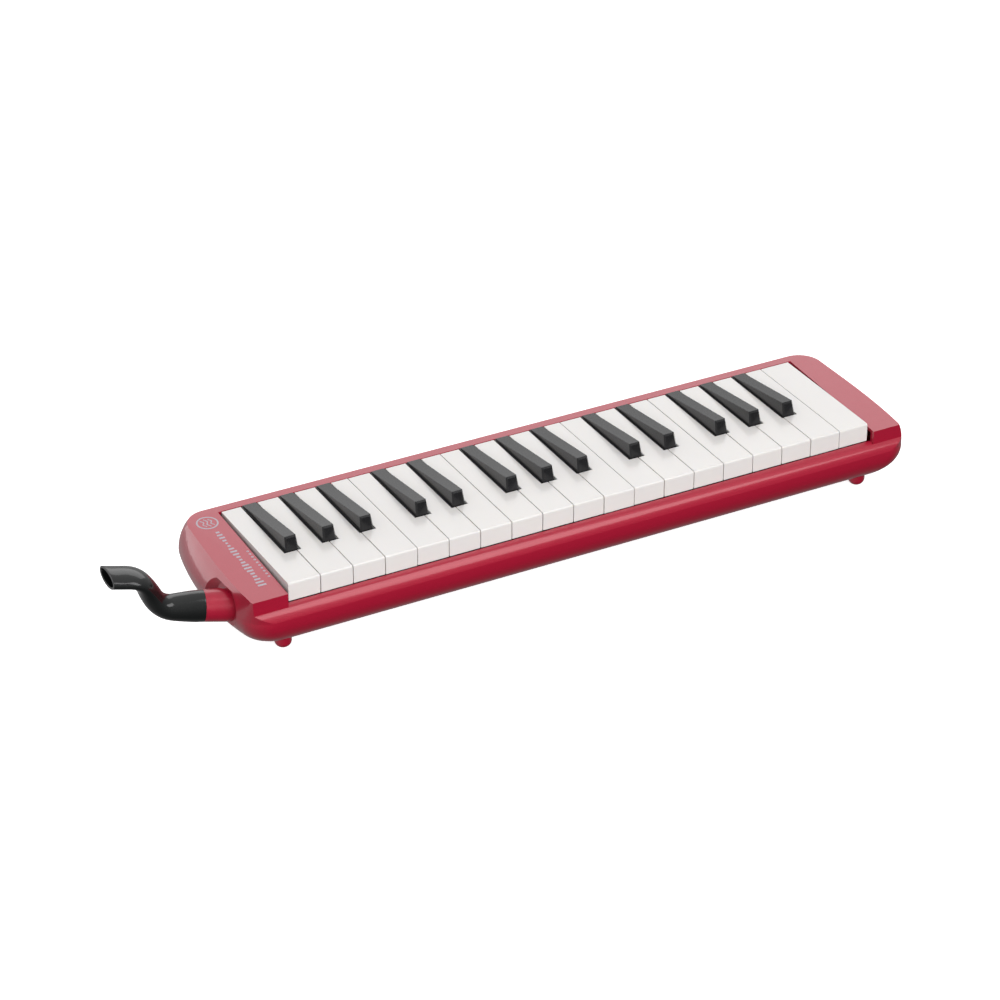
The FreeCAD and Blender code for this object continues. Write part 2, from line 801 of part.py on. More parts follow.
def scoop_backing(name, hull):
    """The part of a shell's wall that closes in behind the scoop round the blow socket."""
    return common(name, [scoop_tool(f"{name}_bowl", "scoop_rim", "wall"), hull])


def build_case():
    scoop = scoop_tool("scoop", 0, 0)
    hole_radius = "socket_root_radius + fit_clearance"
    socket_hole = socket_tool("socket_hole", "socket_length", "socket_length", hole_radius, hole_radius)
    build_upper_case([scoop, socket_hole])
    build_lower_case([scoop, socket_hole])


def build_upper_case(socket_cuts):
    long_span = (f"-({END_X} + overcut)", f"{END_X} + overcut")
    bay_span = (f"-{BAY_X}", BAY_X)
    beyond = "(case_half_depth + overcut)"
    cheeks = prism("cheeks", "yz", long_span, [
        (CHEEK_Y, CREASE),
        (CHEEK_Y, CHEEK_Z),
        (KEY_BACK, "key_top"),
        (beyond, "key_top"),
        (beyond, CREASE),
    ])
    band = prism("band", "yz", long_span, [
        ("-case_half_depth", CREASE),
        (RIM_Y, RIM_Z),
        (RIM_Y, CREASE),
    ], arcs={0: (BAND_RADIUS, 1)})
    hull = common("upper_block", [fuse("upper_section", [cheeks, band]), upper_hull("upper_hull", 0)])

    rim_low = f"({RIM_Z} - wall)"
    hollow = prism("upper_hollow", "yz", long_span, [
        ("-(case_half_depth - wall)", CREASE),
        ("-(case_half_depth - 2 * wall)", f"({CREASE} + {rim_low}) / 2"),
        (RIM_Y, rim_low),
        (RIM_Y, f"{CHEEK_Z} - wall"),
        (KEY_BACK, "key_top - wall"),
        (beyond, "key_top - wall"),
        (beyond, CREASE),
    ])
    cavity = common("upper_cavity", [hollow, upper_hull("upper_cavity_hull", amount("wall"))])

    over_band = prism("over_band", "yz", bay_span, [
        ("-case_half_depth", CREASE),
        (RIM_Y, RIM_Z),
        (RIM_Y, "key_top + overcut"),
        (f"-{beyond}", "key_top + overcut"),
        (f"-{beyond}", CREASE),
    ], arcs={0: (BAND_RADIUS, 1)})
    bay = box("bay", bay_span, (RIM_Y, KEY_BACK), (rim_low, "key_top + overcut"))

    shell = cut("upper_shell", hull, [cavity, over_band, bay])
    bosses = uprights("upper_boss", SCREW_PLACES, CREASE, "key_top - wall", "screw_radius + boss_wall")
    bosses_inside = common("upper_bosses", [fuse("upper_boss_set", bosses), hull])
    backed = fuse("upper_backed", [shell, bosses_inside, scoop_backing("upper_backing", hull)])
    pilots = uprights("upper_pilot", SCREW_PLACES, CREASE, f"{CREASE} + screw_reach + overcut",
                      "screw_radius - screw_clearance")
    node(cut("upper_case", backed, pilots + socket_cuts), "upper_case")


def build_lower_case(socket_cuts):
    hull = lower_hull("lower_hull", 0)
    shell = cut("lower_shell", hull, [lower_hull("lower_cavity", amount("wall"))])
    bosses = uprights("lower_boss", SCREW_PLACES, "base_height", CREASE, "screw_head_radius + boss_wall / 2")
    bosses_inside = common("lower_bosses", [fuse("lower_boss_set", bosses), hull])
    backed = fuse("lower_backed", [shell, bosses_inside, scoop_backing("lower_backing", hull)])
    below = "(base_height - overcut)"
    above_floor = "(base_height + wall + overcut)"
    holes = uprights("head_recess", SCREW_PLACES, below, f"{CREASE} - screw_seat",
                     "screw_head_radius + screw_clearance")
    holes += uprights("shank_hole", SCREW_PLACES, below, f"{CREASE} + overcut",
                      "screw_radius + screw_clearance")
    holes += uprights("foot_hole", FOOT_PLACES, below, above_floor, "foot_shank_radius")
    holes += uprights("strap_hole", STRAP_SCREW_PLACES, below, above_floor, "strap_screw_radius")
    holes.append(rod("valve_hole", "x", (CHEST_X, "valve_y", "valve_z"), "valve_cap_radius + valve_clearance",
                     f"{END_X} + overcut - {CHEST_X}"))
    node(cut("lower_case", backed, holes + socket_cuts), "lower_case")

    heads = uprights("screw_head", SCREW_PLACES, f"{CREASE} - screw_seat - screw_head_height",
                     f"{CREASE} - screw_seat", "screw_head_radius")
    shanks = uprights("screw_shank", SCREW_PLACES, f"{CREASE} - screw_seat", f"{CREASE} + screw_reach",
                      "screw_radius - screw_clearance")
    screws = [fuse(f"case_screw_{index}", pair) for index, pair in enumerate(zip(heads, shanks))]
    node(group("case_screws", screws), "case_screws")


def turned_body(name, axis, outline, arcs=None):
    """A body turned from half its outline, about one axis of its sketch."""
    body = new_body(name)
    sketch = new_sketch(body, "xz" if axis == "V_Axis" else "xy", "0")
    draw(sketch, outline, arcs)
    turned = body.newObject("PartDesign::Revolution", f"{name}_turned")
    turned.Profile = sketch
    turned.ReferenceAxis = (sketch, [axis])
    turned.Angle = 360
    return body


def build_feet():
    feet = []
    for index, (x, y) in enumerate(FOOT_PLACES):
        foot = turned_body(f"foot_{index}", "V_Axis", [
            ("0", "0"),
            ("foot_flat_radius", "0"),
            ("foot_radius", "foot_dome_height"),
            ("foot_radius", "base_height"),
            ("foot_shank_radius", "base_height"),
            ("foot_shank_radius", "base_height + wall"),
            ("0", "base_height + wall"),
        ], arcs={1: ("foot_dome_radius", -1)})
        bind(foot, "Placement.Base.x", x)
        bind(foot, "Placement.Base.y", y)
        feet.append(foot)
    node(group("feet", feet), "feet")


def build_strap():
    """The hand strap under the case: a flat band held by a plate and two screws at each end."""
    half_width = "(strap_width / 2)"
    plate_low = "(base_height - strap_thickness - anchor_thickness)"
    strap_low = "(base_height - strap_thickness)"
    strap = box("strap", ("-strap_length / 2", "strap_length / 2"), (f"-{half_width}", half_width),
                (strap_low, "base_height"))
    node(strap, "hand_strap")
    plates = []
    plate_y = (f"-{half_width} - anchor_margin", f"{half_width} + anchor_margin")
    outer = "(strap_length / 2 + anchor_overhang)"
    inner = f"({outer} - anchor_length)"
    strap_end = "(strap_length / 2)"
    ends = [
        ((f"-{outer}", f"-{inner}"), (f"-{strap_end}", f"-{inner} + overcut")),
        ((inner, outer), (f"{inner} - overcut", strap_end)),
    ]
    for index, (plate_x, channel_x) in enumerate(ends):
        plate = box(f"anchor_{index}", plate_x, plate_y, (plate_low, "base_height"))
        channel = box(f"anchor_channel_{index}", channel_x, (f"-{half_width}", half_width),
                      (strap_low, "base_height + overcut"))
        places = STRAP_SCREW_PLACES[2 * index:2 * index + 2]
        holes = uprights(f"anchor_hole_{index}", places, f"{plate_low} - overcut", "base_height + overcut",
                         "strap_screw_radius")
        plates.append(cut(f"strap_anchor_{index}", plate, [channel] + holes))
    node(group("strap_anchors", plates), "strap_anchors")
    heads = uprights("strap_head", STRAP_SCREW_PLACES, f"{plate_low} - strap_head_height", plate_low,
                     "strap_head_radius")
    shanks = uprights("strap_shank", STRAP_SCREW_PLACES, plate_low, "base_height + wall",
                      "strap_screw_radius")
    screws = [fuse(f"strap_screw_{index}", pair) for index, pair in enumerate(zip(heads, shanks))]
    node(group("strap_screws", screws), "strap_screws")


# ---------------------------------------------------------------- reeds and wind chest

def reed_length(key):
    return f"(reed_long - (reed_long - reed_short) * {key} / {KEY_COUNT - 1})"


PLATE_LOW = "(block_bottom - plate_thickness)"
PLATE_SCREW_CELLS = [(0, "plate_end_inset"), (8, "0"), (16, "-plate_screw_inset"),
                     (16, "plate_screw_inset"), (24, "0"), (KEY_COUNT, "-plate_end_inset")]
PLATE_SCREW_Y = "(plate_front + plate_screw_inset)"
PLATE_SCREW_PLACES = [(f"(-{HALF_KEYS} + {SEMITONE} * {cells} + ({shift}))", PLATE_SCREW_Y)
                      for cells, shift in PLATE_SCREW_CELLS]


def build_reed_block():
    block = prism("block", "xy", ("block_bottom", "block_top"),
                  rectangle(f"-{BLOCK_X}", BLOCK_X, "block_front", "block_back"))
    first = f"({cell_centre(0)} - cell_width / 2)"
    cell = pocket(block, "xy", ("block_bottom", "block_bottom + cell_depth"),
                  rectangle(first, f"{first} + cell_width", "cell_front", "cell_back"))
    pattern_along_x(block, cell, SEMITONE, KEY_COUNT)
    vent = pocket(block, "xz", ("cell_back - overcut", "block_back"),
                  circle=((cell_centre(0), "vent_height"), "vent_radius"))
    pattern_along_x(block, vent, SEMITONE, KEY_COUNT)
    pilots = uprights("plate_pilot", PLATE_SCREW_PLACES, "block_bottom - overcut",
                      "block_bottom + plate_screw_grip", "plate_screw_radius")
    node(cut("drilled_block", block, pilots), "reed_block")


def build_reed_plate(name, keys, low, high, screw_places):
    """One brass plate with a slot for each of its notes; returns its tongues and rivets."""
    tip_y = "(cell_front + reed_tip_gap)"
    half = "(reed_width / 2)"
    tongue_low = f"({PLATE_LOW} - reed_thickness)"
    through_plate = (f"{PLATE_LOW} - overcut", "block_bottom + overcut")
    plate = box(f"{name}_plate", (low, high), ("plate_front", "plate_back"), (PLATE_LOW, "block_bottom"))
    slots = []
    tongues = []
    rivets = []
    for key in keys:
        centre = cell_centre(key)
        free = f"({tip_y} + {reed_length(key)})"
        slots.append(box(f"slot_{key}", (f"{centre} - {half} - slot_gap", f"{centre} + {half} + slot_gap"),
                         (f"{tip_y} - slot_gap", free), through_plate))
        tongues.append(box(f"reed_{key}", (f"{centre} - {half}", f"{centre} + {half}"),
                           (tip_y, f"{free} + reed_tail"), (tongue_low, PLATE_LOW)))
        rivet_base = (centre, f"{free} + reed_tail / 2", f"{tongue_low} - rivet_height")
        rivets.append(rod(f"rivet_{key}", "z", rivet_base, "rivet_radius", "rivet_height"))
    holes = uprights(f"{name}_plate_hole", screw_places, *through_plate, "plate_screw_radius")
    node(cut(f"{name}_slotted", plate, [group(f"{name}_slots", slots + holes)]), f"reed_plate_{name}")
    return tongues, rivets


def build_reeds():
    """Two brass plates under the block, slotted for each note, with a riveted tongue over each slot."""
    middle = f"(-{HALF_KEYS} + {SEMITONE} * {KEY_COUNT // 2})"
    outer = f"({HALF_KEYS} + plate_overhang)"
    last = f"({cell_centre(KEY_COUNT - 1)} + {SEMITONE} / 2 + plate_overhang)"
    half_keys = KEY_COUNT // 2
    half_screws = len(PLATE_SCREW_PLACES) // 2
    bass = build_reed_plate("bass", range(half_keys), f"-{outer}", f"{middle} - plate_gap / 2",
                            PLATE_SCREW_PLACES[:half_screws])
    treble = build_reed_plate("treble", range(half_keys, KEY_COUNT), f"{middle} + plate_gap / 2", last,
                              PLATE_SCREW_PLACES[half_screws:])
    node(group("reed_tongues", bass[0] + treble[0]), "reeds")
    node(group("rivet_heads", bass[1] + treble[1]), "reed_rivets")
    heads = uprights("plate_head", PLATE_SCREW_PLACES, f"{PLATE_LOW} - plate_head_height", PLATE_LOW,
                     "plate_head_radius")
    shanks = uprights("plate_shank", PLATE_SCREW_PLACES, PLATE_LOW, "block_bottom + plate_screw_grip",
                      "plate_screw_radius")
    screws = [fuse(f"plate_screw_{index}", pair) for index, pair in enumerate(zip(heads, shanks))]
    node(group("plate_screws", screws), "reed_plate_screws")


def chest_end_box(name, sign, middle_y):
    """Outer block and hollows of the upright box at one end of the wind chest."""
    def span(near, far):
        return (near, far) if sign > 0 else (f"-({far})", f"-({near})")

    inner = f"({BLOCK_X} + chest_gap)"
    wall_y = (f"{middle_y} - chest_end_half", f"{middle_y} + chest_end_half")
    clear_y = (f"{wall_y[0]} + chest_wall", f"{wall_y[1]} - chest_wall")
    floor = "chest_end_floor + chest_wall"
    far = f"{CHEST_X} - chest_wall"
    shell = box(f"{name}_outer", span(inner, CHEST_X), wall_y, ("chest_end_floor", "chest_end_top"))
    upper = box(f"{name}_hollow", span(f"{inner} + chest_wall", far), clear_y,
                (floor, "chest_end_top - chest_wall"))
    passage = box(f"{name}_passage", span(f"{inner} - 2 * chest_wall", far), clear_y,
                  (floor, f"{CHEST_TOP} - passage_lip"))
    return shell, [upper, passage]


def build_wind_chest():
    tray_x = f"({BLOCK_X} + chest_gap)"
    hollow_x = f"({BLOCK_X} - chest_wall)"
    tray_y = ("block_front", "block_back - tray_setback")
    hollow_y = ("block_front + chest_wall", "block_back - tray_setback - chest_wall")
    tray = box("tray", (f"-{tray_x}", tray_x), tray_y, ("chest_floor", CHEST_TOP))
    tray_hollow = box("tray_hollow", (f"-{hollow_x}", hollow_x), hollow_y,
                      ("chest_floor + chest_wall", f"{CHEST_TOP} + overcut"))
    left, left_hollows = chest_end_box("left_end", -1, SOCKET_END_Y)
    right, right_hollows = chest_end_box("right_end", 1, "valve_y")
    inlet_radius = "socket_root_radius + grommet_wall"
    inlet = socket_tool("chest_inlet", "socket_length + grommet_length / 2", "2 * grommet_length",
                        inlet_radius, inlet_radius)
    outlet = rod("chest_outlet", "x", (f"{CHEST_X} - 2 * chest_wall", "valve_y", "valve_z"),
                 "valve_hole_radius", "3 * chest_wall")
    chest = cut("chest", fuse("chest_outer", [tray, left, right]),
                [tray_hollow, inlet, outlet] + left_hollows + right_hollows)
    node(chest, "wind_chest")

    seal_outer = box("seal_outer", (f"-{BLOCK_X}", BLOCK_X), tray_y, (CHEST_TOP, "block_bottom"))
    seal_inner = box("seal_inner", (f"-{hollow_x}", hollow_x), hollow_y,
                     (f"{CHEST_TOP} - overcut", "block_bottom + overcut"))
    node(cut("chest_seal", seal_outer, [seal_inner]), "wind_chest_gasket")


def build_socket():
    socket = turned_body("socket", "H_Axis", [
        ("0", "socket_bore"),
        ("0", "socket_radius"),
        ("scoop_depth", "socket_root_radius"),
        ("socket_length", "socket_root_radius"),
        ("socket_length", "socket_air_bore"),
        ("socket_bore_depth", "socket_air_bore"),
        ("socket_bore_depth", "socket_bore"),
    ])
    node(place_on_socket(socket), "blow_socket")
    sleeve = turned_body("sleeve", "H_Axis", rectangle(
        "socket_length - grommet_length", "socket_length",
        "socket_root_radius", "socket_root_radius + grommet_wall",
    ))
    node(place_on_socket(sleeve), "socket_grommet")


# ---------------------------------------------------------------- mouthpiece

MOUTH_SECTIONS = 16
WAIST_SHARE = 0.5
LIP_SHARE = 0.8


def mouth_path(share):
    """Place (outward, up) and slope of the mouthpiece's centre line at a share of its length."""
    turn = math.radians(amount("mouth_turn"))
    lip_slope = math.radians(amount("mouth_lip_slope"))
    bend = amount("mouth_bend")
    top_bend = amount("mouth_top_bend")
    runs = [
        (amount("mouth_run"), None),
        (bend * turn, bend),
        (amount("mouth_climb"), None),
        (top_bend * (turn - lip_slope), -top_bend),
        (amount("mouth_lip"), None),
    ]
    left = share * sum(length for length, _ in runs)
    out, up, slope = 0.0, 0.0, 0.0
    for length, radius in runs:
        step = min(left, length)
        if radius is None:
            out += step * math.cos(slope)
            up += step * math.sin(slope)
        else:
            after = slope + step / radius
            out += radius * (math.sin(after) - math.sin(slope))
            up += radius * (math.cos(slope) - math.cos(after))
            slope = after
        left -= step
    return out, up, slope


def eased(share, first, last):
    """A smooth step from 0 to 1 between two shares of the length."""
    return math.sin(math.pi / 2 * max(0.0, min(1.0, (share - first) / (last - first)))) ** 2


def mouth_section(share, inset):
    """An oval across the path: round at the socket, a narrow waist, and a wide flat slanted lip."""
    round_size = 2 * amount("socket_radius")
    to_waist = eased(share, 0, WAIST_SHARE)
    to_lip = eased(share, WAIST_SHARE, LIP_SHARE)
    sizes = []
    for waist, lip in (("waist_width", "lip_width"), ("waist_thickness", "lip_thickness")):
        narrowed = round_size + (amount(waist) - round_size) * to_waist
        sizes.append(narrowed + (amount(lip) - amount(waist)) * to_lip)
    slant = math.radians(amount("mouth_slant")) * eased(share, LIP_SHARE, 1)
    width, thickness = sizes[0] / math.cos(slant) / 2 - inset, sizes[1] / 2 - inset
    out, up, slope = mouth_path(share)
    ahead = Vector(-math.cos(slope), 0, math.sin(slope))
    across = Vector(0, math.cos(slant), 0) + ahead * math.sin(slant)
    normal = Vector(math.sin(slope), 0, math.cos(slope))
    round_enough = 1e-4
    if width >= thickness:
        oval = Part.Ellipse(Vector(), max(width, thickness + round_enough), thickness)
        turned = FreeCAD.Rotation(across, normal, across.cross(normal), "ZXY")
    else:
        oval = Part.Ellipse(Vector(), thickness, width)
        turned = FreeCAD.Rotation(normal, -across, across.cross(normal), "ZXY")
    wire = Part.Wire(oval.toShape())
    wire.Placement = FreeCAD.Placement(Vector(-out, 0, up), turned)
    return wire


def build_mouthpiece():
    """A lofted S-bend with a spigot; its curved centre line suits neither a pad nor a primitive."""
    wall = amount("mouth_wall")
    shares = [index / MOUTH_SECTIONS for index in range(MOUTH_SECTIONS + 1)]
    outer = Part.makeLoft([mouth_section(share, 0) for share in shares], True, False)
    inner = Part.makeLoft([mouth_section(share, wall) for share in shares[1:]], True, False)
    spigot_radius = amount("socket_bore - spigot_clearance")
    length = amount("spigot_length")
    shoulder = amount("mouth_shoulder")
    inward = Vector(1, 0, 0)
    spigot = Part.makeCylinder(spigot_radius, length, Vector(), inward)
    bore = Part.makeCylinder(spigot_radius - wall, length + shoulder, Vector(-shoulder, 0, 0), inward)
    item = document.addObject("Part::Feature", "mouth_tube")
    item.Shape = outer.fuse(spigot).cut(inner.fuse(bore))
    node(place_on_socket(item), "mouthpiece")


# ---------------------------------------------------------------- spit valve

def build_spit_valve():
    cap_start = f"({END_X} - valve_cap_length)"
    collar_start = f"({cap_start} - valve_collar_length)"
    seal_start = f"({CHEST_X} - chest_wall - valve_seal_thickness)"
    centre = ("valve_y", "valve_z")
    cap = rod("valve_cap", "x", (cap_start, *centre), "valve_cap_radius", "valve_cap_length")
    collar = rod("valve_collar", "x", (collar_start, *centre), "valve_cap_radius + valve_flange",
                 "valve_collar_length")
    stem = rod("valve_stem", "x", (seal_start, *centre), "valve_stem_radius", f"{cap_start} - {seal_start}")
    node(fuse("valve_button", [cap, collar, stem]), "spit_valve_button")
    disc = rod("valve_disc", "x", (seal_start, *centre), "valve_seal_radius", "valve_seal_thickness")
    hole = rod("valve_disc_hole", "x", (f"{seal_start} - overcut", *centre), "valve_stem_radius",
               "valve_seal_thickness + 2 * overcut")
    node(cut("valve_seal", disc, [hole]), "spit_valve_seal")

    wire = amount("valve_wire")
    coil_radius = amount("valve_coil_radius")
    start = amount(CHEST_X) + wire
    length = amount(collar_start) - 2 * wire - start
    helix = Part.makeHelix(length / VALVE_COILS, length, coil_radius)
    ring = Part.Wire(Part.Circle(Vector(coil_radius, 0, 0), Vector(0, 1, 0), wire).toShape())
    item = document.addObject("Part::Feature", "valve_coil")
    item.Shape = Part.Wire(helix.Edges).makePipeShell([ring], True, True)
    item.Placement = FreeCAD.Placement(Vector(start, amount("valve_y"), amount("valve_z")), AXIS_TURNS["x"])
    node(item, "spit_valve_spring")


# ---------------------------------------------------------------- build, check and write

def check_document():
    document.recompute()
    faults = [item.Label for item in document.Objects if {"Invalid", "Error"} & set(item.State)]
    faults += [item.Label for item in nodes if item.Shape.isNull() or not item.Shape.isValid()]
    if faults:
        raise RuntimeError(f"these pieces failed: {sorted(set(faults))}")


build_keys()
build_action()
build_case()
build_feet()
build_strap()
build_reed_block()
build_reeds()
build_wind_chest()
build_socket()
build_mouthpiece()
build_spit_valve()
check_document()

os.makedirs("parts", exist_ok=True)
for item in nodes:
    item.Shape.exportStep(f"parts/{item.Label}.step")
    print(f"{item.Label}: {len(item.Shape.Solids)} solids, {item.Shape.Volume / 1000:.2f} cm3")
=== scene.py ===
import json
import math

import bmesh
import bpy
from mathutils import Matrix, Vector
from mathutils.bvhtree import BVHTree


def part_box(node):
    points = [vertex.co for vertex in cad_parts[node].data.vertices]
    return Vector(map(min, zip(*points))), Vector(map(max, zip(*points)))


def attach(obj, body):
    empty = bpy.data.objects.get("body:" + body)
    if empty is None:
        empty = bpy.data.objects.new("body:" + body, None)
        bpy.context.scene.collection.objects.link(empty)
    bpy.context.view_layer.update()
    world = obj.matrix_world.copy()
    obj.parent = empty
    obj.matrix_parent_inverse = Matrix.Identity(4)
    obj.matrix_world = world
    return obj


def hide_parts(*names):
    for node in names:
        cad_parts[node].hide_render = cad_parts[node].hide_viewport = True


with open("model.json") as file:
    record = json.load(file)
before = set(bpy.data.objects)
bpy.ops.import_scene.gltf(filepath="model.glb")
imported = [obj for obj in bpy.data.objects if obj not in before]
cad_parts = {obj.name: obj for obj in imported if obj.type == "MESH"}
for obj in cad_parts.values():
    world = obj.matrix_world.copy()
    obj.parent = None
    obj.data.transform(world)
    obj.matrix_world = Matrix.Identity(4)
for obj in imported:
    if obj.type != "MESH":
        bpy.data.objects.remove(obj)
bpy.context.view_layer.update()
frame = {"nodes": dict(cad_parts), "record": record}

MM = 0.001
record = frame["record"]
BODY_OF = {node: body for body, nodes in record["behaviour"]["bodies"].items() for node in nodes}
SLOT_OF = {part["node"]: part["material_slot"] for part in record["subparts"]}
WHITE_KEYS = sorted(node for node in BODY_OF if node.startswith("white_key"))
BLACK_KEYS = sorted(node for node in BODY_OF if node.startswith("black_key"))


# ---------------------------------------------------------------- materials

class Paint:
    """A principled material under construction, with short calls for the nodes that add detail."""

    def __init__(self, name, base_color, roughness, **sockets):
        self.material = bpy.data.materials.new(name)
        self.material.use_nodes = True
        self.material.diffuse_color = (*base_color, 1.0)
        self.tree = self.material.node_tree
        self.shader = self.tree.nodes["Principled BSDF"]
        self.set_input("Base Color", (*base_color, 1.0))
        self.set_input("Roughness", roughness)
        for socket, value in sockets.items():
            self.set_input(socket.replace("_", " "), value)
        self.base_color = base_color
        self.coordinates = self.add("ShaderNodeTexCoord").outputs["Object"]
        self.last_normal = None

    def set_input(self, socket, value):
        self.shader.inputs[socket].default_value = value

    def add(self, kind, **values):
        node = self.tree.nodes.new(kind)
        for key, value in values.items():
            setattr(node, key, value)
        return node

    def link(self, source, target):
        self.tree.links.new(source, target)

    def noise(self, scale, detail=4.0, stretch=(1, 1, 1), roughness=0.5):
        """Noise over the object's own metres; stretch above 1 squeezes the grain along that axis."""
        mapping = self.add("ShaderNodeMapping")
        mapping.inputs["Scale"].default_value = stretch
        self.link(self.coordinates, mapping.inputs["Vector"])
        texture = self.add("ShaderNodeTexNoise")
        texture.inputs["Scale"].default_value = scale
        texture.inputs["Detail"].default_value = detail
        texture.inputs["Roughness"].default_value = roughness
        self.link(mapping.outputs["Vector"], texture.inputs["Vector"])
        return texture.outputs["Fac"]

    def ramp(self, source, stops):
        """A colour ramp with (position, colour) stops."""
        ramp = self.add("ShaderNodeValToRGB")
        elements = ramp.color_ramp.elements
        while len(elements) < len(stops):
            elements.new(0.5)
        for element, (position, color) in zip(elements, stops):
            element.position = position
            element.color = (*color, 1.0)
        self.link(source, ramp.inputs["Fac"])
        return ramp.outputs["Color"]

    def vary_color(self, scale, spread, tint=(1, 1, 1)):
        """Mottle the base colour gently between a darker and a lighter shade."""
        dark = tuple(c * (1 - spread) for c in self.base_color)
        light = tuple(min(1.0, c * (1 + spread) * t) for c, t in zip(self.base_color, tint))
        mottle = self.ramp(self.noise(scale), [(0.3, dark), (0.7, light)])
        self.link(mottle, self.shader.inputs["Base Color"])

    def vary_roughness(self, scale, low, high, stretch=(1, 1, 1)):
        """Let the roughness wander between low and high."""
        span = self.add("ShaderNodeMapRange")
        span.inputs["To Min"].default_value = low
        span.inputs["To Max"].default_value = high
        self.link(self.noise(scale, stretch=stretch), span.inputs["Value"])
        self.link(span.outputs["Result"], self.shader.inputs["Roughness"])

    def bump(self, source, strength, distance):
        """Stack one more relief onto the surface."""
        bump = self.add("ShaderNodeBump")
        bump.inputs["Strength"].default_value = strength
        bump.inputs["Distance"].default_value = distance
        self.link(source, bump.inputs["Height"])
        if self.last_normal:
            self.link(self.last_normal, bump.inputs["Normal"])
        self.last_normal = bump.outputs["Normal"]
        self.link(self.last_normal, self.shader.inputs["Normal"])


def cherry_case():
    """Deep red pearl lacquer look: fine flakes under a glossy coat with a trace of orange peel."""
    paint = Paint("cherry_case", (0.40, 0.006, 0.030), 0.36,
                  Metallic=0.10, Coat_Weight=0.75, Coat_Roughness=0.09)
    paint.vary_color(2600, 0.10, (1.02, 1.3, 1.15))
    paint.vary_roughness(140, 0.30, 0.38)
    paint.bump(paint.noise(900, detail=2), 0.05, 0.00005)
    return paint.material


def white_key_plastic():
    paint = Paint("white_key_plastic", (0.80, 0.775, 0.76), 0.26, Coat_Weight=0.3, Coat_Roughness=0.08)
    paint.set_input("Subsurface Weight", 0.08)
    paint.set_input("Subsurface Radius", (0.004, 0.003, 0.002))
    paint.vary_color(35, 0.012, (1.0, 1.0, 0.99))
    paint.vary_roughness(300, 0.19, 0.27)
    paint.bump(paint.noise(1500, detail=2), 0.03, 0.00003)
    return paint.material


def black_key_plastic():
    paint = Paint("black_key_plastic", (0.008, 0.008, 0.009), 0.22, Coat_Weight=0.15, Coat_Roughness=0.10)
    paint.vary_color(60, 0.15)
    paint.vary_roughness(420, 0.16, 0.30)
    paint.bump(paint.noise(2200, detail=3), 0.06, 0.00004)
    return paint.material


def black_mouth_plastic():
    paint = Paint("black_mouth_plastic", (0.008, 0.009, 0.009), 0.17, Coat_Weight=0.4, Coat_Roughness=0.06)
    paint.vary_color(45, 0.15)
    paint.vary_roughness(380, 0.12, 0.22)
    paint.bump(paint.noise(260, detail=2), 0.04, 0.0001)
    return paint.material


def grey_moulding():
    paint = Paint("grey_moulding", (0.055, 0.056, 0.060), 0.55)
    paint.vary_color(90, 0.12)
    paint.vary_roughness(900, 0.48, 0.66)
    paint.bump(paint.noise(2600, detail=4), 0.20, 0.00006)
    return paint.material


def brushed_metal(name, color, stretch=(0.04, 1, 1)):
    """Satin metal whose brushing runs along the axis that stretch makes small."""
    brush_scale = 1400
    paint = Paint(name, color, 0.26, Metallic=1.0)
    paint.vary_color(220, 0.06)
    paint.vary_roughness(brush_scale, 0.26, 0.42, stretch=stretch)
    paint.bump(paint.noise(brush_scale, detail=2, stretch=stretch), 0.12, 0.00003)
    return paint.material


def pressed_felt():
    paint = Paint("pressed_felt", (0.22, 0.03, 0.035), 0.95)
    paint.set_input("Sheen Weight", 0.5)
    paint.set_input("Sheen Roughness", 0.6)
    paint.vary_color(1800, 0.28)
    paint.bump(paint.noise(3200, detail=8, roughness=0.7), 0.7, 0.0003)
    return paint.material


def soft_rubber():
    paint = Paint("soft_rubber", (0.022, 0.022, 0.023), 0.68)
    paint.vary_color(300, 0.15)
    paint.bump(paint.noise(1800, detail=4), 0.2, 0.00005)
    return paint.material


def silver_ink():
    """The pale grey metallic ink of the plain print on the left panel."""
    paint = Paint("silver_ink", (0.46, 0.42, 0.47), 0.38, Metallic=0.35)
    paint.vary_color(3000, 0.10)
    paint.bump(paint.noise(5200, detail=2), 0.1, 0.00002)
    return paint.material


def strap_leatherette():
    paint = Paint("strap_leatherette", (0.018, 0.018, 0.020), 0.48)
    cells = paint.add("ShaderNodeTexVoronoi")
    cells.inputs["Scale"].default_value = 1100
    cells.feature = "DISTANCE_TO_EDGE"
    paint.link(paint.coordinates, cells.inputs["Vector"])
    grain = paint.add("ShaderNodeMapRange")
    grain.inputs["From Max"].default_value = 0.12
    paint.link(cells.outputs["Distance"], grain.inputs["Value"])
    paint.vary_color(160, 0.20)
    paint.vary_roughness(700, 0.42, 0.58)
    paint.bump(grain.outputs["Result"], 0.45, 0.00012)
    paint.bump(paint.noise(150, detail=3), 0.15, 0.0002)
    return paint.material


def stitch_thread():
    paint = Paint("stitch_thread", (0.10, 0.10, 0.105), 0.8)
    paint.vary_color(4000, 0.25)
    paint.bump(paint.noise(6000, detail=3), 0.4, 0.00005)
    return paint.material


MATERIALS = {
    "red_case": cherry_case(),
    "white_keys": white_key_plastic(),
    "black_keys": black_key_plastic(),
    "black_plastic": black_mouth_plastic(),
    "grey_plastic": grey_moulding(),
    "steel": brushed_metal("satin_steel", (0.55, 0.55, 0.56)),
    "brass": brushed_metal("satin_brass", (0.72, 0.53, 0.24)),
    "reed_metal": brushed_metal("reed_brass", (0.76, 0.60, 0.34), stretch=(1, 0.05, 1)),
    "felt": pressed_felt(),
    "rubber": soft_rubber(),
    "strap": strap_leatherette(),
}


# ---------------------------------------------------------------- mesh helpers

